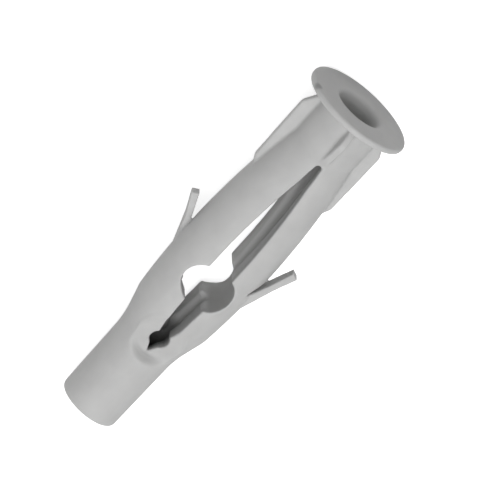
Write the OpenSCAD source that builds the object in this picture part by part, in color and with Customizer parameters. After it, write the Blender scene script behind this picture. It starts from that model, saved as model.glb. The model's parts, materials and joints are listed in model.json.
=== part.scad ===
// Wall plug with a collar, 8 x 50 mm, moulded in one piece of nylon.
//
// The origin is on the plug's axis, in the plane of the wall's face, where the underside of the
// collar seats. The plug lies as it comes to rest, on the rim of its collar and the edge of its
// tip, so +X runs along the plug into the wall, apart from a lean of a few degrees. The slot
// faces up and down, and the legs bow out to +Y and -Y.
//
// The plug is drawn upright first, with its axis on Z and its tip up, and then laid down.

/* [Body] */
// Length of the whole plug, collar included
plug_len = 50; // [42:1:75]
// Diameter across the legs where they leave the neck and where they meet the sleeve
body_d = 8; // [6.8:0.1:9.6]
// How much the sleeve's radius tapers off towards the tip
tip_draft = 0.14; // [0:0.02:0.3]
// Length of the solid sleeve, from the end of the slot to the tip
sleeve_len = 11.3; // [9:0.1:14]
// Rounding of the tip's outer edge
tip_edge_r = 0.45; // [0.2:0.05:0.8]

/* [Collar and neck] */
// Diameter of the collar
collar_d = 13.8; // [12.6:0.1:18]
// Thickness of the collar
collar_t = 0.85; // [0.7:0.05:1.6]
// Rounding of the collar's rim
collar_rim_r = 0.3; // [0.1:0.05:0.35]
// Length of the round neck, from the underside of the collar to the slot
neck_len = 6.8; // [5.6:0.1:9]
// How much larger the neck's radius is at the collar than the legs'
neck_swell = 0.2; // [0:0.05:0.5]

/* [Legs] */
// How far each leg bows out at its widest
bow = 1.75; // [1.5:0.05:2.2]
// Place of the widest point, as a share of the slot's length
crest_share = 0.527; // [0.46:0.01:0.6]
// Slope of the legs where they run in to the sleeve, in degrees
tip_slope = 15; // [13:0.5:17]
// Radius of the hollow curve in which the legs run out into the sleeve
run_in_r = 15; // [5:1:20]

/* [Holes] */
// Diameter of the screw hole through the collar and the neck
bore_d = 5.5; // [4:0.1:6.6]
// Bevel at the mouth of the screw hole, in the collar's face
bore_bevel = 0.3; // [0.1:0.05:0.5]
// Diameter of the screw channel at its blind end in the sleeve
channel_end_d = 3; // [2:0.1:3.6]
// Plastic left between the blind end of the channel and the tip
channel_floor = 5; // [2:0.5:8]
// Diameter of the round hole across the middle of the slot
cross_hole_d = 5.4; // [4.4:0.1:6.5]
// How far that hole's two halves are drawn apart, one half for each leg
cross_hole_apart = 1.2; // [0.4:0.1:2]
// Place of that hole, as a share of the slot's length
cross_hole_share = 0.652; // [0.6:0.01:0.7]
// Radius of the slot's round end at the neck
slot_end_r = 0.42; // [0.3:0.02:0.6]
// Diameter of the small hole near the slot's pointed end
end_hole_d = 2.4; // [1.8:0.1:2.8]
// Distance of the small hole from the slot's pointed end
end_hole_inset = 2; // [1.8:0.1:3]
// How far the opening's point runs on past the slot, into the sleeve
point_run_on = 0.3; // [0.1:0.05:0.6]
// Diameter of the shallow recess round the small hole
recess_d = 7.4; // [5:0.1:8]
// Depth of that recess
recess_depth = 1.2; // [0.4:0.1:1.4]
// How far the recess narrows from its edge to its floor
recess_draft = 0.6; // [0.3:0.1:1.2]
// How far the recess lies off the small hole, towards the collar
recess_shift = 0.4; // [0:0.1:0.6]

/* [Fins] */
// Thickness of the four fins that stop the plug from turning
fin_t = 0.95; // [0.6:0.05:1.6]
// Height of the fins above the neck, at the top of their shoulders
fin_h = 1.7; // [1.2:0.1:2]
// How much lower the fins are at their far ends
fin_drop = 0.15; // [0:0.05:0.4]
// Height of the fins above the neck, at the foot of the shoulder beside the collar
fin_foot_h = 0.3; // [0.1:0.05:0.6]
// Gap between the collar and the fins
fin_gap = 0.4; // [0.3:0.05:1.4]
// Length of the sloping shoulder beside the collar
fin_shoulder = 2.2; // [1:0.1:2.6]
// Rounding at the top of that shoulder
fin_shoulder_r = 1; // [0.3:0.1:1.2]
// Distance of the long fins' far ends from the collar
long_fin_end = 12.5; // [9:0.1:15]
// Distance between the short fins' far ends and the slot
short_fin_stop = 0.55; // [0.3:0.05:1]
// Length of the ramp at the far end of each fin
fin_ramp = 1.15; // [0.8:0.05:1.6]

/* [Tongues] */
// Width of the locking tongue on each leg
tongue_w = 2.35; // [1.6:0.05:3]
// How far the tongue's tip stands out from the leg
tongue_reach = 2.35; // [1.6:0.05:3]
// Slope of the tongue's outer face, in degrees
tongue_slope = 19; // [16:0.5:24]
// Thickness of the tongue at its tip
tongue_tip_t = 0.5; // [0.3:0.05:0.7]
// Thickness of the tongue where it leaves the leg
tongue_root_t = 1.1; // [0.9:0.05:1.2]
// Depth of the notch behind the tongue, at its deepest
notch_depth = 0.5; // [0.2:0.05:0.8]

/* [Hidden] */
$fn = 96;
// The long arcs of the legs need more sides
long_arc_fn = 360;

// Overlap that keeps joined shapes from only touching
bite = 0.05;
// Length by which a cut runs past the surface that it opens
past = 1;

body_r = body_d / 2;
neck_r = body_r + neck_swell;
tip_r = body_r - tip_draft;
collar_r = collar_d / 2;
bore_r = bore_d / 2;
tip_z = plug_len - collar_t;

// The slot, from the neck to the sleeve
slot_start = neck_len;
slot_end = tip_z - sleeve_len;
// The neck reaches as far as the middle of the slot's round end
neck_end = slot_start + slot_end_r;
slot_len = slot_end - slot_start;
crest_z = slot_start + crest_share * slot_len;
cross_z = slot_start + cross_hole_share * slot_len;
end_hole_z = slot_end - end_hole_inset;

// Each leg is the outer half of a round bar that bows out in one long arc. The arc leaves the
// axis this far inside the neck.
root_in = 1.7;
// Their run-in reaches this far past the slot, within the sleeve
run_in_tail = 1.1 * run_in_r * tan(tip_slope / 2);
rise_len = crest_z - slot_start + root_in;
bow_r = (pow(rise_len, 2) + pow(bow, 2)) / (2 * bow);

// Half the width of the slot, and the distance of a leg's outermost line from the axis
function slot_half(z) = bow - bow_r + sqrt(pow(bow_r, 2) - pow(z - crest_z, 2));
function leg_out(z) = slot_half(z) + body_r;

// The lean at which the rim of the collar and the edge of the tip touch the same floor. Each is
// a ring with a round edge, at a height on the axis, a radius and an edge radius.
rim_ring = [-collar_rim_r, collar_r - collar_rim_r, collar_rim_r];
tip_ring = [tip_z - tip_edge_r, tip_r - tip_edge_r, tip_edge_r];
ring_step = tip_ring - rim_ring;
lean = acos(ring_step[2] / norm([ring_step[0], ring_step[1]])) - atan2(ring_step[0], -ring_step[1]);

// Unit vector from one point towards another
function toward(from, to) = (to - from) / norm(to - from);
function before(list, i) = list[(i + len(list) - 1) % len(list)];
function after(list, i) = list[(i + 1) % len(list)];

// The points that stand in for one corner of a closed outline: the corner itself where the
// radius is 0, and otherwise an arc that touches both of its sides
arc_steps = 6;
function corner_points(at, back, ahead, r) =
    r == 0 ? [at] :
    let (
        half = acos(back * ahead) / 2,
        first = at + r / tan(half) * back,
        last = at + r / tan(half) * ahead,
        centre = at + r / sin(half) * toward([0, 0], back + ahead),
        sweep = 180 - 2 * half
    )
    [
        for (k = [0 : arc_steps])
            let (share = k / arc_steps)
            centre + (sin((1 - share) * sweep) * (first - centre)
                + sin(share * sweep) * (last - centre)) / sin(sweep)
    ];

// A closed outline with rounded corners, one radius for each corner
module rounded_outline(corners, radii) {
    polygon([
        for (i = [0 : len(corners) - 1])
            each corner_points(
                corners[i],
                toward(corners[i], before(corners, i)),
                toward(corners[i], after(corners, i)),
                radii[i]
            )
    ]);
}

// A flat plate that stands across the axis: the outline's x is the distance from the axis
// towards +Y, and its y is the distance along the axis
module plate(thickness) {
    rotate([90, 0, 90])
        translate([0, 0, -thickness / 2])
        linear_extrude(thickness)
        children();
}

// One of the two round bars that the legs are the outer halves of. It turns about a line that
// lies across the plug, on the far side of the axis.
module bowed_bar() {
    start_angle = asin(rise_len / bow_r);
    end_angle = asin((slot_end + run_in_tail - crest_z) / bow_r);
    translate([0, bow - bow_r, crest_z])
        rotate([90, 0, 90])
        rotate(-start_angle)
        rotate_extrude(angle = start_angle + end_angle, $fn = long_arc_fn)
        translate([bow_r, 0])
        circle(body_r, $fn = 96);
}

// The round cone that brings the legs in to the sleeve. It ends in a hollow curve, which sinks into
// the sleeve's surface.
module run_in() {
    bottom = slot_start - root_in - past;
    top = slot_end + run_in_tail;
    end_r = body_r - bite / 2;
    rotate_extrude()
        rounded_outline(
            [
                [0, bottom],
                [end_r + (slot_end - bottom) * tan(tip_slope), bottom],
                [end_r, slot_end],
                [end_r, top],
                [0, top]
            ],
            [0, 0, run_in_r, 0, 0]
        );
}

// The opening between the legs: bowed on both sides, and closing in a straight-sided point
module slot() {
    wedge_len = slot_end - crest_z;
    wedge_half = wedge_len * tan(tip_slope);
    plate(2 * (body_r + past))
        intersection() {
            intersection_for (side = [-1, 1])
                translate([side * (bow - bow_r), crest_z]) circle(bow_r, $fn = 2 * long_arc_fn);
            polygon([
                [0, slot_end],
                [wedge_half, crest_z],
                [wedge_half, 0],
                [-wedge_half, 0],
                [-wedge_half, crest_z]
            ]);
        }
}

module legs() {
    difference() {
        intersection() {
            union() {
                bowed_bar();
                rotate(180) bowed_bar();
            }
            run_in();
        }
        slot();
    }
}

// The collar, with a rounded rim
module collar() {
    rotate_extrude()
        rounded_outline(
            [
                [0, bite],
                [neck_r - bite, bite],
                [neck_r - bite, 0],
                [collar_r, 0],
                [collar_r, -collar_t],
                [0, -collar_t]
            ],
            [0, 0, 0, collar_rim_r, collar_rim_r, 0]
        );
}

// The round neck, which also closes the slot's near end. Its far end narrows, so that the legs
// grow out of it.
module neck() {
    narrowing_len = 1.6;
    rotate_extrude()
        polygon([
            [0, 0],
            [neck_r, 0],
            [neck_r, slot_start - narrowing_len],
            [body_r - bite, neck_end],
            [0, neck_end]
        ]);
}

// The sleeve at the tip. It starts a little before the slot's end, to close its point, and there
// it lies within the cone that brings the legs in.
module sleeve() {
    start = slot_end - 4 * bite;
    rotate_extrude()
        rounded_outline(
            [
                [0, start],
                [body_r + bite / 2, start],
                [tip_r, tip_z],
                [0, tip_z]
            ],
            [0, 0, tip_edge_r, 0]
        );
}

// One fin: it stands in the wall of the neck, with a rounded shoulder towards the collar and a
// ramp at its far end, which meets the surface at the height given
module fin(far_end, surface) {
    root = (bore_r + body_r) / 2;
    crest = neck_r + fin_h;
    plate(fin_t)
        rounded_outline(
            [
                [root, fin_gap],
                [neck_r + fin_foot_h, fin_gap],
                [crest, fin_gap + fin_shoulder],
                [crest - fin_drop, far_end - fin_ramp],
                [surface, far_end],
                [root, far_end]
            ],
            [0, 0, fin_shoulder_r, 0, 0, 0]
        );
}

module long_fins() {
    for (turn = [0, 180])
        rotate(turn) fin(long_fin_end, leg_out(long_fin_end));
}

module short_fins() {
    for (turn = [90, 270])
        rotate(turn) fin(slot_start - short_fin_stop, body_r);
}

// The tongue and the notch behind it are both set out from the tongue's root, which is level
// with the middle of the cross hole. Its outer face leaves the leg there and slopes out towards
// the collar.
tongue_len = tongue_reach / tan(tongue_slope);
root_y = leg_out(cross_z);
crotch_drop = (tongue_root_t / cos(tongue_slope) - notch_depth) / tan(tongue_slope);
crotch = [root_y - notch_depth, cross_z - crotch_drop];
tongue_tip = [root_y + tongue_reach, cross_z - tongue_len];

module tongue() {
    // Direction square to the outer face, in to the leg
    inwards = [-cos(tongue_slope), -sin(tongue_slope)];
    plate(tongue_w)
        rounded_outline(
            [
                [root_y - notch_depth, cross_z + notch_depth],
                crotch,
                tongue_tip + tongue_tip_t * inwards,
                tongue_tip,
                [root_y, cross_z]
            ],
            [0, 0, 0, tongue_tip_t * 0.4, 0]
        );
}

// The notch behind the tongue: it clears the leg's round back from just past the tongue's tip
// down to the crotch, so that the tongue can fold in flush
module notch() {
    plate(2 * body_r)
        polygon([
            crotch,
            [leg_out(tongue_tip[1]), tongue_tip[1] - tongue_tip_t],
            [root_y + tongue_reach, tongue_tip[1] - tongue_tip_t],
            [root_y + tongue_reach, cross_z],
            [root_y, cross_z]
        ]);
}

// The screw's way in: a straight hole through the collar and the neck, with a bevelled mouth, and
// from there a channel that tapers off between the legs and ends in the sleeve
module screw_channel() {
    mouth = -collar_t - past;
    blind_end = tip_z - channel_floor;
    rotate_extrude()
        polygon([
            [0, mouth],
            [bore_r + bore_bevel + past, mouth],
            [bore_r, bore_bevel - collar_t],
            [bore_r, neck_end],
            [channel_end_d / 2, blind_end],
            [0, blind_end]
        ]);
}

// A round hole straight across the plug, through both faces
module across(r) {
    rotate([0, 90, 0])
        translate([0, 0, -body_r - past])
        cylinder(h = 2 * (body_r + past), r = r);
}

module cross_hole() {
    for (side = [-1, 1])
        translate([0, side * cross_hole_apart / 2, cross_z]) across(cross_hole_d / 2);
}

// The slot's round end at the neck, and the small hole at its other end, which is drawn out to a
// point like a drop
module slot_ends() {
    drop_half = 0.45 * end_hole_d;
    translate([0, 0, neck_end]) across(slot_end_r);
    translate([0, 0, end_hole_z]) across(end_hole_d / 2);
    plate(2 * (body_r + past))
        polygon([
            [0, slot_end + point_run_on],
            [drop_half, end_hole_z],
            [-drop_half, end_hole_z]
        ]);
}

// The shallow recess round the small hole, on both faces: the wall is thinned there, so that the
// legs can bend
module recesses() {
    for (side = [-1, 1])
        translate([0, 0, end_hole_z - recess_shift])
            rotate([0, side * 90, 0])
            translate([0, 0, body_r - recess_depth])
            cylinder(
                h = recess_depth + past,
                r1 = recess_d / 2 - recess_draft,
                r2 = recess_d / 2 + past * recess_draft / recess_depth
            );
}

module upright_plug() {
    difference() {
        union() {
            collar();
            neck();
            sleeve();
            long_fins();
            short_fins();
            difference() {
                legs();
                for (turn = [0, 180]) rotate(turn) notch();
            }
            for (turn = [0, 180]) rotate(turn) tongue();
        }
        screw_channel();
        cross_hole();
        slot_ends();
        recesses();
    }
}

module plug() {
    color([0.7, 0.7, 0.7])
        rotate([0, 90 + lean, 0]) upright_plug();
}

plug();
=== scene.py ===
# %% [markdown]
# # A nylon wall plug with a collar
# The real object is one small moulding in light-grey nylon, 50 mm long. A round collar stops it at
# the wall's face, fins keep it from turning, and two bowed legs spread behind the wall when a screw
# is driven in. This lesson takes the exact model of the plug as its frame, gives it the soft edges
# and the skin of a moulding, and photographs it from above on a pale floor.

# %% Load the exact model
import math

import json

import bmesh
import bpy
import numpy as np
from mathutils import Matrix, Vector


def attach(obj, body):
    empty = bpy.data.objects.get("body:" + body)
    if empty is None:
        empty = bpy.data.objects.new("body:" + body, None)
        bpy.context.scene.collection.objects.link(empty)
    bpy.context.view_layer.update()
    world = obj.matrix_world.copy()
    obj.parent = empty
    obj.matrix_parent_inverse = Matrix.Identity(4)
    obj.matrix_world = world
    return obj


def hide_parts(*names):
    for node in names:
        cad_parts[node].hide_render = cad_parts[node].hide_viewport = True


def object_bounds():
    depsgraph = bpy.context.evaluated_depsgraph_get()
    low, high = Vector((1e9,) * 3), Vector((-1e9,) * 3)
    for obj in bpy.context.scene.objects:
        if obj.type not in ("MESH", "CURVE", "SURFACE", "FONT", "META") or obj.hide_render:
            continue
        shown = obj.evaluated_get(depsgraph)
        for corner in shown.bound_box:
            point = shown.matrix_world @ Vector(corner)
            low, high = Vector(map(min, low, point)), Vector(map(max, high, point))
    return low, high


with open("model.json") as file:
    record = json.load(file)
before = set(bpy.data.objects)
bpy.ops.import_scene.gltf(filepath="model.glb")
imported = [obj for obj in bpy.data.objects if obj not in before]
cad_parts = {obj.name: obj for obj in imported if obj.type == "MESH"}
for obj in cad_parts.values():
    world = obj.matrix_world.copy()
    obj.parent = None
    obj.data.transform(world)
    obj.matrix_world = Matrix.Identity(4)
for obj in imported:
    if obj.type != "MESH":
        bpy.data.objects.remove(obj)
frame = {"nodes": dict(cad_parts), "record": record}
cad_low, cad_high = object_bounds()
print("CAD box in mm:", [round(1000 * v, 2) for v in cad_high - cad_low])

# %% [markdown]
# The plug lies on the rim of its collar and the edge of its tip, so it leans a few degrees. The
# screw's hole is a named mount of the model, and its direction gives the plug's own axes: along
# it, across its legs, and out of its slot. They could also be read off the mesh, but the mount is
# exact.

# %% The plug's own axes
MM = 0.001
hole = next(m for m in frame["record"]["mounts"] if m["name"] == "screw_bore")
to_collar = Vector(hole["axis"]).normalized()
across = Vector((0, 1, 0))
slot_up = (-to_collar).cross(across).normalized()
wall_point = Vector(hole["pos_m"])
lean = math.atan2(to_collar.z, -to_collar.x)
print("the plug leans by", round(math.degrees(lean), 2), "degrees")


def at(along_mm, across_mm=0.0, up_mm=0.0):
    """A point in millimetres along the plug from the wall's face, across its legs, out of its slot."""
    return wall_point + MM * (-along_mm * to_collar + across_mm * across + up_mm * slot_up)


# %% [markdown]
# ## The camera
# The photograph is nearly free of perspective, so the camera stands a metre away with a long lens.
# It is turned round the plug's axis towards one leg, tilted towards the collar's face, and rolled
# until the plug points to the picture's upper right corner. Two angles and a roll say that more
# plainly than a position and a target would.

# %% Place the camera
PICTURE_W, PICTURE_H = 487, 500
PX_PER_MM = 8.577
TURN, TILT, ROLL = math.radians(17.9), math.radians(19.95), math.radians(47.35)
MIDDLE_PX = (234.65, 244.4)
MIDDLE_ALONG = 22.0
CAMERA_DISTANCE = 1.0

towards_camera = (
    math.cos(TILT) * math.cos(TURN) * slot_up
    - math.cos(TILT) * math.sin(TURN) * across
    + math.sin(TILT) * to_collar
)
collar_way = (
    -math.sin(TILT) * math.cos(TURN) * slot_up
    + math.sin(TILT) * math.sin(TURN) * across
    + math.cos(TILT) * to_collar
)
side_way = math.sin(TURN) * slot_up + math.cos(TURN) * across
right = math.cos(ROLL) * collar_way + math.sin(ROLL) * side_way
up = math.sin(ROLL) * collar_way - math.cos(ROLL) * side_way

aim = (
    at(MIDDLE_ALONG)
    + MM * (PICTURE_W / 2 - MIDDLE_PX[0]) / PX_PER_MM * right
    - MM * (PICTURE_H / 2 - MIDDLE_PX[1]) / PX_PER_MM * up
)
camera_data = bpy.data.cameras.new("camera")
camera_data.sensor_fit = "HORIZONTAL"
camera_data.sensor_width = 36
camera_data.lens = 36 * CAMERA_DISTANCE / (MM * PICTURE_W / PX_PER_MM)
camera_data.clip_end = 10
camera = bpy.data.objects.new("camera", camera_data)
bpy.context.scene.collection.objects.link(camera)
bpy.context.scene.camera = camera
camera.matrix_world = Matrix.Translation(aim + CAMERA_DISTANCE * towards_camera) @ (
    Matrix((right, up, towards_camera)).transposed().to_4x4()
)
print("lens", round(camera_data.lens), "mm, height", round(camera.matrix_world.translation.z, 3), "m")

# %% [markdown]
# ## The moulded body
# A steel mould has no knife edges, and nylon shrinks as it cools, so every edge of the real plug
# is soft. The exact model has sharp ones. A bevel modifier can't follow edges as crowded as those
# round the slot, the small hole and the tongues. Instead a copy of the model is remeshed into a
# fine even net and relaxed, which rounds all of them by about a fifth of a millimetre and keeps
# the walls where they are.
#
# The copy is turned upright into the plug's own axes first, in millimetres: x along the plug, y
# across its legs and z out of its slot. Each later step can then say plainly where it works.

# %% Copy the plug upright and weld its faces
to_own_axes = Matrix.Scale(1 / MM, 4) @ (
    Matrix((-to_collar, across, slot_up)).to_4x4() @ Matrix.Translation(-wall_point)
)


def upright_copy(node, name):
    """A copy of a CAD node in the plug's own axes, with the vertices that its faces share welded."""
    mesh = frame["nodes"][node].data.copy()
    mesh.name = name
    mesh.materials.clear()
    mesh.transform(to_own_axes)
    copy = bpy.data.objects.new(name, mesh)
    bpy.context.scene.collection.objects.link(copy)
    weld = copy.modifiers.new("weld", "WELD")
    weld.merge_threshold = 1e-4
    return copy


def with_modifiers_applied(piece):
    """Puts the result of a piece's modifiers in place of its mesh."""
    depsgraph = bpy.context.evaluated_depsgraph_get()
    mesh = bpy.data.meshes.new_from_object(piece.evaluated_get(depsgraph))
    piece.modifiers.clear()
    old, piece.data = piece.data, mesh
    bpy.data.meshes.remove(old)
    return piece


body = with_modifiers_applied(upright_copy("plug", "nylon_body"))
print("welded copy:", len(body.data.vertices), "points,", len(body.data.polygons), "faces")

# %% [markdown]
# The net has to be finer than the smallest things that show, the half-millimetre edge of a tongue
# and the narrow point of the slot. A tenth of a millimetre gives five points across each.

# %% Remesh it into an even net
NET_MM = 0.1


def netted(piece):
    """Puts an even net in place of a piece's mesh. Parts that overlap become one skin."""
    net = piece.modifiers.new("net", "REMESH")
    net.mode = "VOXEL"
    net.voxel_size = NET_MM
    return with_modifiers_applied(piece)


netted(body)
print("net:", len(body.data.vertices), "points")


# %% Read and write the net's points as one array
def points_of(piece):
    """The vertices of a piece as an array of x, y, z rows."""
    rows = np.empty(3 * len(piece.data.vertices))
    piece.data.vertices.foreach_get("co", rows)
    return rows.reshape(-1, 3)


def move_points(piece, rows):
    """Puts an array of x, y, z rows back into a piece's vertices."""
    piece.data.vertices.foreach_set("co", rows.ravel())
    piece.data.update()


def between(value, low, high):
    """Which entries of an array lie between two numbers."""
    return (value > low) & (value < high)


def eased(value, low, high):
    """0 up to a low number and 1 from a high one, with a smooth rise between them."""
    t = np.clip((value - low) / (high - low), 0, 1)
    return t * t * (3 - 2 * t)


print("lowest and highest along, in mm:", points_of(body)[:, 0].min(), points_of(body)[:, 0].max())


# %% [markdown]
# Some places of the real plug have freer forms than arcs and flat cuts. With a fine net they can be
# shaped as a sculptor would: each is a rule that says where a point of the net goes. The rules need
# the legs' own form, which is a round bar of 4 mm radius that bows out in one long arc and is
# turned down to a cone where it runs in to the sleeve.

# %% The form of the legs' backs
BODY_R = 4.0
BOW, CREST_ALONG, BOW_STARTS = 1.75, 23.16, 5.1
BOW_R = ((CREST_ALONG - BOW_STARTS) ** 2 + BOW**2) / (2 * BOW)
SLEEVE_ALONG, RUN_IN_SLOPE = 37.85, math.tan(math.radians(15))


def leg_middle(along):
    """How far the middle of a leg's round back lies from the plug's axis."""
    return BOW - BOW_R + np.sqrt(BOW_R**2 - (along - CREST_ALONG) ** 2)


def back_height(along, across_mm):
    """Height of the legs' backs and the sleeve over the plug's axis."""
    bar = BODY_R**2 - (np.abs(across_mm) - leg_middle(along)) ** 2
    cone = (BODY_R + np.maximum(SLEEVE_ALONG - along, 0) * RUN_IN_SLOPE) ** 2 - across_mm**2
    sleeve = BODY_R**2 - across_mm**2
    return np.sqrt(np.maximum(np.where(along < SLEEVE_ALONG, np.minimum(bar, cone), sleeve), 0.01))


def back_reach(along, up_mm):
    """How far the legs' backs reach across, at a height over the plug's axis."""
    return leg_middle(along) + np.sqrt(np.maximum(BODY_R**2 - up_mm**2, 0.01))


print("bow radius", round(BOW_R, 1), "mm")

# %% [markdown]
# The recess round the small hole thins the wall so that the legs can fold. On the real plug it is
# a scoop: its floor starts at nothing between the legs and is deepest beside the sleeve, where it
# ends in a soft step. The exact model has a flat pocket there, so the part of the wall above
# SCOOP_FOOT is stretched or squeezed until its top lies on the scoop's floor.

# %% Turn the flat pocket into a scoop
POCKET_ALONG, POCKET_R, POCKET_FLOOR, POCKET_DRAFT, POCKET_DEEP = 35.45, 3.7, 2.8, 0.6, 1.2
SCOOP_ENDS, SCOOP_R, SCOOP_DEEP, SCOOP_SLOPE = 38.75, 3.7, 1.2, math.radians(13)
SCOOP_FOOT, SCOOP_EDGE = 2.0, 0.75
POCKET_RIM = 0.1

rows = points_of(body)
along, across_mm, up_mm = rows.T
back = back_height(along, across_mm)
from_pocket = np.hypot(along - POCKET_ALONG, across_mm)
pocket = POCKET_FLOOR + (from_pocket - POCKET_R + POCKET_DRAFT) * POCKET_DEEP / POCKET_DRAFT
old_top = np.minimum(np.maximum(pocket, POCKET_FLOOR), back)
scoop_middle = SCOOP_ENDS - SCOOP_R * math.cos(SCOOP_SLOPE)
from_scoop = np.hypot((along - scoop_middle) / math.cos(SCOOP_SLOPE), across_mm)
scoop = BODY_R - SCOOP_DEEP + (SCOOP_ENDS - along) * math.tan(SCOOP_SLOPE)
inside = 1 - eased(from_scoop, SCOOP_R - SCOOP_EDGE, SCOOP_R + SCOOP_EDGE)
new_top = back - inside * np.maximum(back - scoop, 0)
near = ((from_pocket < POCKET_R + POCKET_RIM) | (inside > 0)) & (np.abs(up_mm) > SCOOP_FOOT)
share = (np.abs(up_mm) - SCOOP_FOOT) / np.maximum(old_top - SCOOP_FOOT, 0.1)
new_up = np.sign(up_mm) * (SCOOP_FOOT + share * (new_top - SCOOP_FOOT))
rows[near, 2] = new_up[near]
move_points(body, rows)
print("the scoop moves", int(near.sum()), "points")

# %% [markdown]
# The two short fins over the slot are lower than the long ones, and slope down all the way to the
# end of the neck. Each point of them is brought nearer to the neck, more so towards the far end.

# %% Slope the short fins down
FIN_HALF = 0.56
NECK_ENDS = ((0.0, 5.2, 7.22), (4.2, 4.2, 3.95))
FIN_KEPT = ((0.4, 2.6, 5.1), (1.0, 0.7, 0.3))
FIN_FROM, FIN_TO = 0.3, 6.4

rows = points_of(body)
along, across_mm, up_mm = rows.T
neck = np.sqrt(np.interp(along, *NECK_ENDS) ** 2 - np.minimum(np.abs(across_mm), FIN_HALF) ** 2)
fin = between(along, FIN_FROM, FIN_TO) & (np.abs(across_mm) < FIN_HALF) & (np.abs(up_mm) > neck)
lower = np.sign(up_mm) * (neck + (np.abs(up_mm) - neck) * np.interp(along, *FIN_KEPT))
rows[fin, 2] = lower[fin]
move_points(body, rows)
print("the short fins hold", int(fin.sum()), "points")

# %% [markdown]
# The legs bow a little less inside than outside, so the slot is a shade narrower than the exact
# model's. Its walls are brought in, and the shift fades out within the thickness of the legs. In
# the run-in the wall of each leg comes in a little more in the half that is farther from its
# tongue, and the slot's point reaches a little nearer to the collar. Pairs of numbers below say
# where a shift starts and where it is full.

# %% Bring the slot's walls in
SLOT_IN, WALL_STARTS, WALL_FADE = 0.1, 0.05, 0.6
SLOT_MIDDLE = 0.3
HOLLOW_IN = ((27.6, 28.8, 30.5, 33.0, 37.0), (0.0, 0.27, 0.2, 0.12, 0.0))
FAR_HALF, HOLLOW_FADE = (-1.5, 0.5), (2.4, 3.4)
POINT_ON, POINT_HALF = 0.3, (0.5, 1.2)
SLOT_FROM, SLOT_TO = (8.0, 10.0), (32.0, 35.0)
POINT_FROM, POINT_TO = (5.6, 6.6), (7.2, 9.5)

rows = points_of(body)
along, across_mm, up_mm = rows.T
side = np.abs(across_mm)
wall = leg_middle(along)
held = 1 - eased(side, wall + WALL_STARTS, wall + WALL_FADE)
held *= eased(along, *SLOT_FROM) * (1 - eased(along, *SLOT_TO))
far_half = 1 - eased(up_mm * np.sign(across_mm), *FAR_HALF)
hollow = np.interp(along, *HOLLOW_IN) * (1 - eased(side, *HOLLOW_FADE))
shift = SLOT_IN * held + hollow * far_half
rows[:, 1] -= np.sign(across_mm) * shift * (side > SLOT_MIDDLE)
point = eased(along, *POINT_FROM) * (1 - eased(along, *POINT_TO)) * (1 - eased(side, *POINT_HALF))
rows[:, 0] -= POINT_ON * point
move_points(body, rows)
print("the walls move", int((held > 0.01).sum()), "points")

# %% [markdown]
# Each locking tongue is moulded in one half of the mould, so it lies off the plug's middle plane:
# towards the slot's upper face on one leg, and towards the lower face on the other. The exact
# model has plain tongues in the middle. They are flattened into the legs' backs here, and a loft
# through four sections makes each new one. Its foot is sunk in the leg, where the next net joins
# the two.

# %% Flatten the plain tongues and press the new ones' gap in
GAP_BEHIND, TONGUE_FOOT = 0.42, 4.1
PLAIN_TONGUE, PLAIN_HALF = (19.2, 27.3), 2.2
GAP_ALONG, GAP_UP = (21.5, 25.15), (0.9, 3.6)
INNER_AT, INNER_REACH, INNER_SLOPE = 22.9, 5.83, 0.47


def inner_face(along):
    """How far a tongue's inner face lies from the middle plane between the legs."""
    return INNER_REACH + (INNER_AT - along) * INNER_SLOPE


rows = points_of(body)
along, across_mm, up_mm = rows.T
side, turned_up = np.abs(across_mm), up_mm * np.sign(across_mm)
back = back_reach(along, up_mm)
plain = between(along, *PLAIN_TONGUE) & (np.abs(up_mm) < PLAIN_HALF) & (side > TONGUE_FOOT)
rows[plain, 1] = (np.sign(across_mm) * back)[plain]
behind = between(along, *GAP_ALONG) & between(turned_up, *GAP_UP) & (side > TONGUE_FOOT)
pressed = np.minimum(np.minimum(side, back), inner_face(along) - GAP_BEHIND)
rows[behind, 1] = (np.sign(across_mm) * pressed)[behind]
move_points(body, rows)
print("flattened", int(plain.sum()), "points")

# %% Loft the locking tongues
TONGUE_SECTIONS = (
    # along at the inner face, along at the outer, inner face, outer face, low edge, high edge
    (19.8, 20.2, 7.1, 7.94, 0.75, 2.15),
    (22.9, 22.9, 5.83, 6.66, 0.6, 2.35),
    (25.2, 25.2, 4.75, 5.84, 0.5, 2.4),
    (28.3, 28.3, 4.2, 4.79, 0.5, 2.3),
)


def loft_tongue(side):
    """A closed loft through the tongue's sections, on the leg at +1 or -1 across."""
    points, faces = [], []
    for at_inner, at_outer, inner, outer, low, high in TONGUE_SECTIONS:
        for x, y, z in (
            (at_inner, inner, low),
            (at_outer, outer, low),
            (at_outer, outer, high),
            (at_inner, inner, high),
        ):
            points.append((x, side * y, side * z))
    last = len(points) - 4
    for first in range(0, last, 4):
        for i, j in ((0, 1), (1, 2), (2, 3), (3, 0)):
            faces.append((first + i, first + j, first + 4 + j, first + 4 + i))
    faces += [(3, 2, 1, 0), (last, last + 1, last + 2, last + 3)]
    mesh = bpy.data.meshes.new("tongue")
    mesh.from_pydata(points, [], faces)
    return mesh


joined = bmesh.new()
joined.from_mesh(body.data)
for side in (1, -1):
    tongue = loft_tongue(side)
    joined.from_mesh(tongue)
    bpy.data.meshes.remove(tongue)
joined.to_mesh(body.data)
joined.free()
print("with two tongues:", len(body.data.vertices), "points")

# %% [markdown]
# Shaping has stretched some of the net, so it is made anew. Then each point moves towards the mean
# of its neighbours a number of times, which rounds every edge by about a fifth of a millimetre.
# A weight on the points says how much of that each takes: the fins, the slot's walls and the screw
# hole's mouth are softer still on the real plug and take more, and the thin tongues would shrink
# and take less. As before, a pair of numbers says where something starts and where it is full, or
# between which two places it lies.

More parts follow.
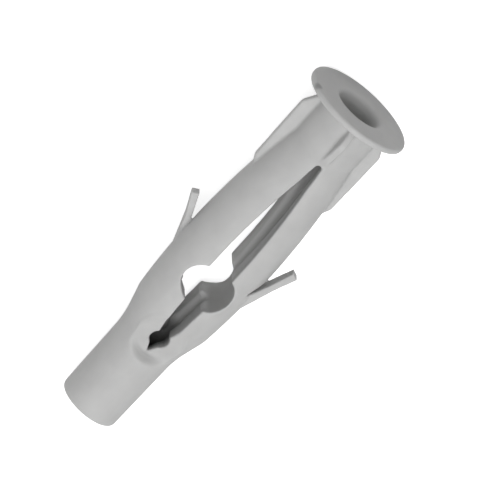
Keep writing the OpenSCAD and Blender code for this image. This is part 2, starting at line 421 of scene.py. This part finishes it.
# %% Make the net anew and relax it
EDGE_ROUNDS, SOFT_PART_ROUNDS = 14, 26
TONGUES_HOLD, TONGUES_STAND = 0.55, (0.0, 0.4)
TONGUES_ALONG, TONGUES_HALF = (19, 26), 2.6
FINS_ALONG, FINS_OUT, FINS_TOP = (0.1, 12.8), (3.9, 4.4), 6.1
LONG_FIN_HALF, SHORT_FIN_HALF, SHORT_FIN_END = 1.4, 1.3, 6.2
MOUTH_DEEP, MOUTH_OUT = (-0.7, -0.2), (3.2, 3.7)
SOFT_WALL, SOFT_WALL_ALONG, SOFT_WALL_UP = (0.3, 0.9), (8.5, 34), (2.2, 2.8)


def relaxed(piece, rounds, group=""):
    """Moves each point of a net towards the mean of its neighbours, a number of times."""
    relax = piece.modifiers.new("relax", "SMOOTH")
    relax.factor = 0.5
    relax.iterations = rounds
    relax.vertex_group = group


def weigh(piece, name, weights):
    """Stores one weight for each vertex as a vertex group, in steps of a tenth."""
    group = piece.vertex_groups.new(name=name)
    steps = np.round(10 * weights).astype(int)
    for step in range(1, 11):
        members = np.nonzero(steps == step)[0]
        if len(members):
            group.add(members.tolist(), step / 10, "REPLACE")
    print(name, "holds", int((steps > 0).sum()), "points")


netted(body)
rows = points_of(body)
along, across_mm, up_mm = rows.T
from_axis = np.hypot(across_mm, up_mm)
side, height = np.abs(across_mm), np.abs(up_mm)
near_long_fins = height < LONG_FIN_HALF
near_short_fins = (side < SHORT_FIN_HALF) & (along < SHORT_FIN_END)
on_fins = eased(from_axis, *FINS_OUT) * between(along, *FINS_ALONG) * (from_axis < FINS_TOP)
on_fins *= near_long_fins | near_short_fins
into_leg = side - leg_middle(along)
in_slot = (1 - eased(into_leg, *SOFT_WALL)) * (1 - eased(height, *SOFT_WALL_UP))
in_slot *= between(along, *SOFT_WALL_ALONG)
at_mouth = (1 - eased(along, *MOUTH_DEEP)) * (1 - eased(from_axis, *MOUTH_OUT))
weigh(body, "soft_parts", np.maximum(np.maximum(on_fins, at_mouth), in_slot))
on_tongues = eased(side - back_reach(along, up_mm), *TONGUES_STAND)
on_tongues *= between(along, *TONGUES_ALONG) & (height < TONGUES_HALF)
weigh(body, "but_tongues", 1 - TONGUES_HOLD * on_tongues)
relaxed(body, EDGE_ROUNDS, "but_tongues")
relaxed(body, SOFT_PART_ROUNDS, "soft_parts")
with_modifiers_applied(body)
print("net made anew:", len(body.data.vertices), "points")

# %% [markdown]
# The screw's hole opens in a small funnel that guides the point of the screw. The exact model has
# a short bevel there. Its points are moved outwards, most at the collar's face and none at the
# funnel's foot, and the points of the face round the mouth make room for them.

# %% Open the screw hole's mouth into a funnel
MOUTH_R, FUNNEL_TOP, FUNNEL_FOOT = 2.9, -0.85, 0.35
FUNNEL_OUT, FACE_GIVES = 0.2, 1.6

rows = points_of(body)
along, across_mm, up_mm = rows.T
from_axis = np.hypot(across_mm, up_mm)
opened = FUNNEL_OUT * (1 - eased(along, FUNNEL_TOP, FUNNEL_FOOT))
opened *= 1 - eased(from_axis, MOUTH_R, MOUTH_R + FACE_GIVES)
rows[:, 1:] *= (1 + opened / np.maximum(from_axis, 1.0))[:, None]
move_points(body, rows)
print("the funnel moves", int((opened > 0.01).sum()), "points")

# %% [markdown]
# ## The scar of the gate
# The melt enters the mould through a gate, and where the plug is broken off its runner a small
# rough dent stays. Here it is on the edge between the collar's face and its rim. It could be a
# picture on the surface, but from close up it throws a shadow, so the net itself is pressed in.

# %% Press the gate's scar into the collar's edge
GATE_TURN = math.radians(20)
GATE_ALONG, GATE_OUT = -0.72, 6.62
GATE_LONG, GATE_WIDE = 0.95, 0.75
GATE_DEEP, GATE_SLANT = 0.12, 0.7


def mark(piece, name, values):
    """Stores a value from 0 to 1 at each vertex, which a material can read by its name."""
    piece.data.attributes.new(name, "FLOAT", "POINT").data.foreach_set("value", values)
    print(name, "marks", int((values > 0.01).sum()), "points")


rows = points_of(body)
outwards = np.array([0.0, -math.cos(GATE_TURN), math.sin(GATE_TURN)])
round_rim = np.array([0.0, math.sin(GATE_TURN), math.cos(GATE_TURN)])
away = rows - GATE_OUT * outwards - np.array([GATE_ALONG, 0.0, 0.0])
wide = np.hypot(away[:, 0], away @ outwards) / GATE_WIDE
reach = np.hypot(wide, away @ round_rim / GATE_LONG)
scar = 1 - eased(reach, 0.0, 1.0)
pressed_way = GATE_SLANT * (np.array([1.0, 0.0, 0.0]) - outwards)
rows += GATE_DEEP * scar[:, None] * pressed_way
move_points(body, rows)
# The scar's weights are stored for painted shade: a darker grey in its dent.
mark(body, "painted_scar_shade", scar)

# %% [markdown]
# Two more places are marked for painted light and shade in the nylon's colour. Light reaches the
# slot's walls through the thin legs on the real plug, and a lighter grey paints that light on. The
# small hole goes down into the sleeve, where hardly any light comes back, and a darker grey paints
# that shade in.

# %% Mark the small hole's painted shade and the slot walls' painted light
HOLE_ALONG, HOLE_R, HOLE_UP = (33.6, 35.6), 2.75, (2.2, 2.7)
LIT_WALL, LIT_ALONG, LIT_UP = (0.1, 0.7), (8, 30), (2.6, 3.4)

along, across_mm, up_mm = rows.T
side, height = np.abs(across_mm), np.abs(up_mm)
# Painted shade: the small hole is marked for a darker grey.
in_hole = eased(along, *HOLE_ALONG) * (np.hypot(across_mm, up_mm) < HOLE_R)
mark(body, "painted_hole_shade", in_hole * (1 - eased(height, *HOLE_UP)))
# Painted light: the slot's walls are marked for a lighter grey.
lit = 1 - eased(side - leg_middle(along), *LIT_WALL)
mark(body, "painted_wall_light", lit * between(along, *LIT_ALONG) * (1 - eased(height, *LIT_UP)))

# %% [markdown]
# The net is now far finer on the flat stretches than it needs to be. Decimating takes points away
# where the surface is nearly flat and keeps them at the edges.

# %% Thin the net out, and lay the plug down again
MOST_TRIANGLES = 190_000

net_triangles = sum(len(p.vertices) - 2 for p in body.data.polygons)
thin = body.modifiers.new("thin", "DECIMATE")
thin.ratio = min(1.0, MOST_TRIANGLES / net_triangles)
thin.use_collapse_triangulate = True
with_modifiers_applied(body)
body.vertex_groups.clear()
body.data.polygons.foreach_set("use_smooth", [True] * len(body.data.polygons))
body.data.transform(to_own_axes.inverted())
body.data.update()
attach(body, "root")
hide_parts("plug")
print("net:", net_triangles, "triangles, thinned to", len(body.data.polygons))

# %% [markdown]
# ## A grain that nylon and paper share
# No surface is quite even. The plug's skin carries the fine grain of the mould's steel and a faint
# cloudiness from the flow of the melt, and the paper below has its fibres. Both are noise at two
# sizes, so one node group makes both, and each material sets its own sizes.

# %% Build the grain group
grain = bpy.data.node_groups.new("fine_grain", "ShaderNodeTree")
for name, start in (("Grain Size", 0.1), ("Cloud Size", 3.0)):
    socket = grain.interface.new_socket(name, in_out="INPUT", socket_type="NodeSocketFloat")
    socket.default_value = start
grain.interface.new_socket("Grain", in_out="OUTPUT", socket_type="NodeSocketFloat")
grain.interface.new_socket("Cloud", in_out="OUTPUT", socket_type="NodeSocketFloat")


def add_node(tree, kind, **settings):
    """A new node with its settings, and with inputs given by name or number in a dict."""
    node = tree.nodes.new(kind)
    values = settings.pop("inputs", {})
    for name, value in settings.items():
        setattr(node, name, value)
    for socket, value in values.items():
        node.inputs[socket].default_value = value
    return node


def noise_of_size(tree, size, detail, where):
    """A noise whose patches are about the size, in millimetres, that a socket gives."""
    per_metre = add_node(tree, "ShaderNodeMath", operation="DIVIDE", inputs={0: 1 / MM})
    tree.links.new(size, per_metre.inputs[1])
    noise = add_node(tree, "ShaderNodeTexNoise", inputs={"Detail": detail})
    tree.links.new(where, noise.inputs["Vector"])
    tree.links.new(per_metre.outputs[0], noise.inputs["Scale"])
    return noise.outputs["Fac"]


ends_in = grain.nodes.new("NodeGroupInput")
ends_out = grain.nodes.new("NodeGroupOutput")
place = grain.nodes.new("ShaderNodeTexCoord")
for socket, size, detail in (("Grain", "Grain Size", 3.0), ("Cloud", "Cloud Size", 2.0)):
    noise = noise_of_size(grain, ends_in.outputs[size], detail, place.outputs["Object"])
    grain.links.new(noise, ends_out.inputs[socket])
print("group", grain.name, "puts out", [s.name for s in ends_out.inputs if s.name])

# %% [markdown]
# ## The nylon
# Light-grey nylon is a satin plastic. Light enters it a little and comes out again, which softens
# the shade in the slot. The colour drifts by a few hundredths with the cloud, and the grain is cut
# so fine that it shows only as a broken-up sheen. The two halves of the mould meet in the plane
# between the slot's two faces, and leave a hairline along the outer flanks of the legs.

# %% The satin finish and its cloud
nylon = bpy.data.materials.new("light_grey_nylon")
nylon.use_nodes = True
tree = nylon.node_tree
satin = tree.nodes["Principled BSDF"]
satin.inputs["Specular IOR Level"].default_value = 0.4
satin.inputs["Subsurface Weight"].default_value = 0.4
satin.inputs["Subsurface Radius"].default_value = (1.0, 1.0, 1.0)
satin.inputs["Subsurface Scale"].default_value = 1.0 * MM

skin_sizes = {"Grain Size": 0.09, "Cloud Size": 2.6}
skin = add_node(tree, "ShaderNodeGroup", node_tree=grain, inputs=skin_sizes)


def grey(level, blue=None):
    """A grey as a colour socket takes it, with a little less blue where asked."""
    return (level, level, level if blue is None else blue, 1)


def stepped_between(tree, value, low, high, from_low=0.35, from_high=0.65):
    """Maps a value from one range to another, and returns the socket."""
    ramp = add_node(
        tree,
        "ShaderNodeMapRange",
        inputs={"From Min": from_low, "From Max": from_high, "To Min": low, "To Max": high},
    )
    tree.links.new(value, ramp.inputs["Value"])
    return ramp.outputs["Result"]


cloud = stepped_between(tree, skin.outputs["Cloud"], 0.0, 1.0)
two_greys = {6: grey(0.475, blue=0.472), 7: grey(0.502, blue=0.498)}
colour = add_node(tree, "ShaderNodeMix", data_type="RGBA", inputs=two_greys)
tree.links.new(cloud, colour.inputs["Factor"])
SATIN, DULL = 0.5, 0.62
tree.links.new(stepped_between(tree, skin.outputs["Grain"], SATIN, DULL), satin.inputs["Roughness"])
print("the nylon's roughness runs from", SATIN, "to", DULL)

# %% [markdown]
# The marks stored on the net's points now paint greys into the marked places: painted shade makes
# the scar's dent darker, painted light makes the slot's walls lighter than the skin, and painted
# shade makes the small hole darker.

# %% Paint shade and light into the marked places


def greyed(under, name, shade, full=None):
    """Mixes a grey into a colour where a mark is set, and returns the socket."""
    marked = add_node(tree, "ShaderNodeAttribute", attribute_name=name).outputs["Fac"]
    if full:
        marked = stepped_between(tree, marked, 0.0, *full)
    mixed = add_node(tree, "ShaderNodeMix", data_type="RGBA", inputs={7: shade})
    tree.links.new(marked, mixed.inputs["Factor"])
    tree.links.new(under, mixed.inputs[6])
    return mixed.outputs[2]


# Painted shade: a darker grey in the scar's dent.
with_scar_shade = greyed(colour.outputs[2], "painted_scar_shade", grey(0.26), full=(0.8, 0.1, 0.7))
# Painted light: a lighter grey on the slot's walls.
with_wall_light = greyed(with_scar_shade, "painted_wall_light", grey(0.62, blue=0.616))
# Painted shade: a darker grey in the small hole.
shaded = greyed(with_wall_light, "painted_hole_shade", grey(0.16))
tree.links.new(shaded, satin.inputs["Base Color"])
print("the nylon's colour goes through", shaded.node.name)

# %% The hairline where the mould's halves meet
HAIRLINE_WIDE, HAIRLINE_HIGH = 0.09, 3.0
LEGS_OUTSIDE = (2.2, 3.0)

place = tree.nodes.new("ShaderNodeTexCoord")


def distance_along(direction):
    """How far a point of the surface lies from the wall's point in a direction, as a node's output."""
    dot = add_node(tree, "ShaderNodeVectorMath", operation="DOT_PRODUCT", inputs={1: direction})
    tree.links.new(place.outputs["Object"], dot.inputs[0])
    less = add_node(
        tree, "ShaderNodeMath", operation="SUBTRACT", inputs={1: float(wall_point.dot(direction))}
    )
    tree.links.new(dot.outputs["Value"], less.inputs[0])
    return less.outputs[0]


def combine(operation, first, second):
    """Two sockets, or a socket and a number, put through one piece of arithmetic."""
    node = add_node(tree, "ShaderNodeMath", operation=operation)
    for socket, value in zip(node.inputs, (first, second)):
        if isinstance(value, bpy.types.NodeSocket):
            tree.links.new(value, socket)
        else:
            socket.default_value = value
    return node.outputs[0]


height = combine("ABSOLUTE", distance_along(slot_up), 0.0)
near_plane = stepped_between(tree, height, 1.0, 0.0, 0.0, HAIRLINE_WIDE * MM)
facing = add_node(tree, "ShaderNodeVectorMath", operation="DOT_PRODUCT", inputs={1: across})
tree.links.new(tree.nodes.new("ShaderNodeNewGeometry").outputs["Normal"], facing.inputs[0])
outer = combine("MULTIPLY", facing.outputs["Value"], distance_along(across))
outer = stepped_between(tree, outer, 0.0, 1.0, *(MM * v for v in LEGS_OUTSIDE))
hairline = combine("MULTIPLY", near_plane, outer)

bumps = combine("ADD", combine("MULTIPLY", hairline, HAIRLINE_HIGH), skin.outputs["Grain"])
bump = add_node(tree, "ShaderNodeBump", inputs={"Strength": 0.5, "Distance": 0.01 * MM})
tree.links.new(bumps, bump.inputs["Height"])
tree.links.new(bump.outputs["Normal"], satin.inputs["Normal"])
body.data.materials.clear()
body.data.materials.append(nylon)
print("nylon has", len(tree.nodes), "nodes")

# %% [markdown]
# ## Floor, light and world
# The photograph shows the plug on pure white, lit from all round. A sheet of white paper lies
# under it. To the camera the paper also glows a little, so that it reads as white without more
# light falling on the plug, and it still takes a faint shadow.

# %% A sheet of white paper
PAPER_GLOW = 0.7

floor_mesh = bpy.data.meshes.new("floor")
half, level = 0.6, cad_low.z
corners = [(x * half, y * half, level) for x, y in ((-1, -1), (1, -1), (1, 1), (-1, 1))]
floor_mesh.from_pydata(corners, [], [(0, 1, 2, 3)])
floor = bpy.data.objects.new("floor", floor_mesh)
bpy.context.scene.collection.objects.link(floor)

paper = bpy.data.materials.new("white_paper")
paper.use_nodes = True
tree = paper.node_tree
matt = tree.nodes["Principled BSDF"]
matt.inputs["Roughness"].default_value = 0.9
matt.inputs["Emission Color"].default_value = grey(1.0)
fibre_sizes = {"Grain Size": 0.3, "Cloud Size": 8.0}
fibres = add_node(tree, "ShaderNodeGroup", node_tree=grain, inputs=fibre_sizes)
two_whites = {6: grey(0.78), 7: grey(0.82)}
sheet = add_node(tree, "ShaderNodeMix", data_type="RGBA", inputs=two_whites)
tree.links.new(fibres.outputs["Cloud"], sheet.inputs["Factor"])
tree.links.new(sheet.outputs[2], matt.inputs["Base Color"])
tooth = add_node(tree, "ShaderNodeBump", inputs={"Strength": 0.3, "Distance": 0.02 * MM})
tree.links.new(fibres.outputs["Grain"], tooth.inputs["Height"])
tree.links.new(tooth.outputs["Normal"], matt.inputs["Normal"])
path = tree.nodes.new("ShaderNodeLightPath")
glow = combine("MULTIPLY", path.outputs["Is Camera Ray"], PAPER_GLOW)
tree.links.new(glow, matt.inputs["Emission Strength"])
floor_mesh.materials.append(paper)
print("the paper lies at", round(1000 * level, 3), "mm")

# %% [markdown]
# One soft lamp stands over the slot, and a plain white world fills the shade from all round. The
# lamp is as wide as it is far, so its shadows have no edge.

# %% One soft lamp and the world


def soft_lamp(name, direction, distance, size, watts):
    """A square lamp that looks at the middle of the plug from a direction."""
    data = bpy.data.lights.new(name, "AREA")
    data.shape = "SQUARE"
    data.size = size
    data.energy = watts
    lamp = bpy.data.objects.new(name, data)
    bpy.context.scene.collection.objects.link(lamp)
    lamp.location = at(MIDDLE_ALONG) + distance * direction.normalized()
    lamp.rotation_euler = direction.to_track_quat("Z", "Y").to_euler()
    return lamp


key_way = 0.98 * slot_up + 0.04 * across - 0.1 * to_collar
key = soft_lamp("key", key_way, distance=0.7, size=0.7, watts=4.75)
world = bpy.data.worlds.new("studio")
bpy.context.scene.world = world
world.use_nodes = True
sky = world.node_tree.nodes["Background"]
sky.inputs["Color"].default_value = grey(1.0)
sky.inputs["Strength"].default_value = 0.32
print("the lamp gives", key.data.energy, "W from", round(key.location.z, 2), "m up")

bpy.context.scene.view_settings.view_transform = "Standard"
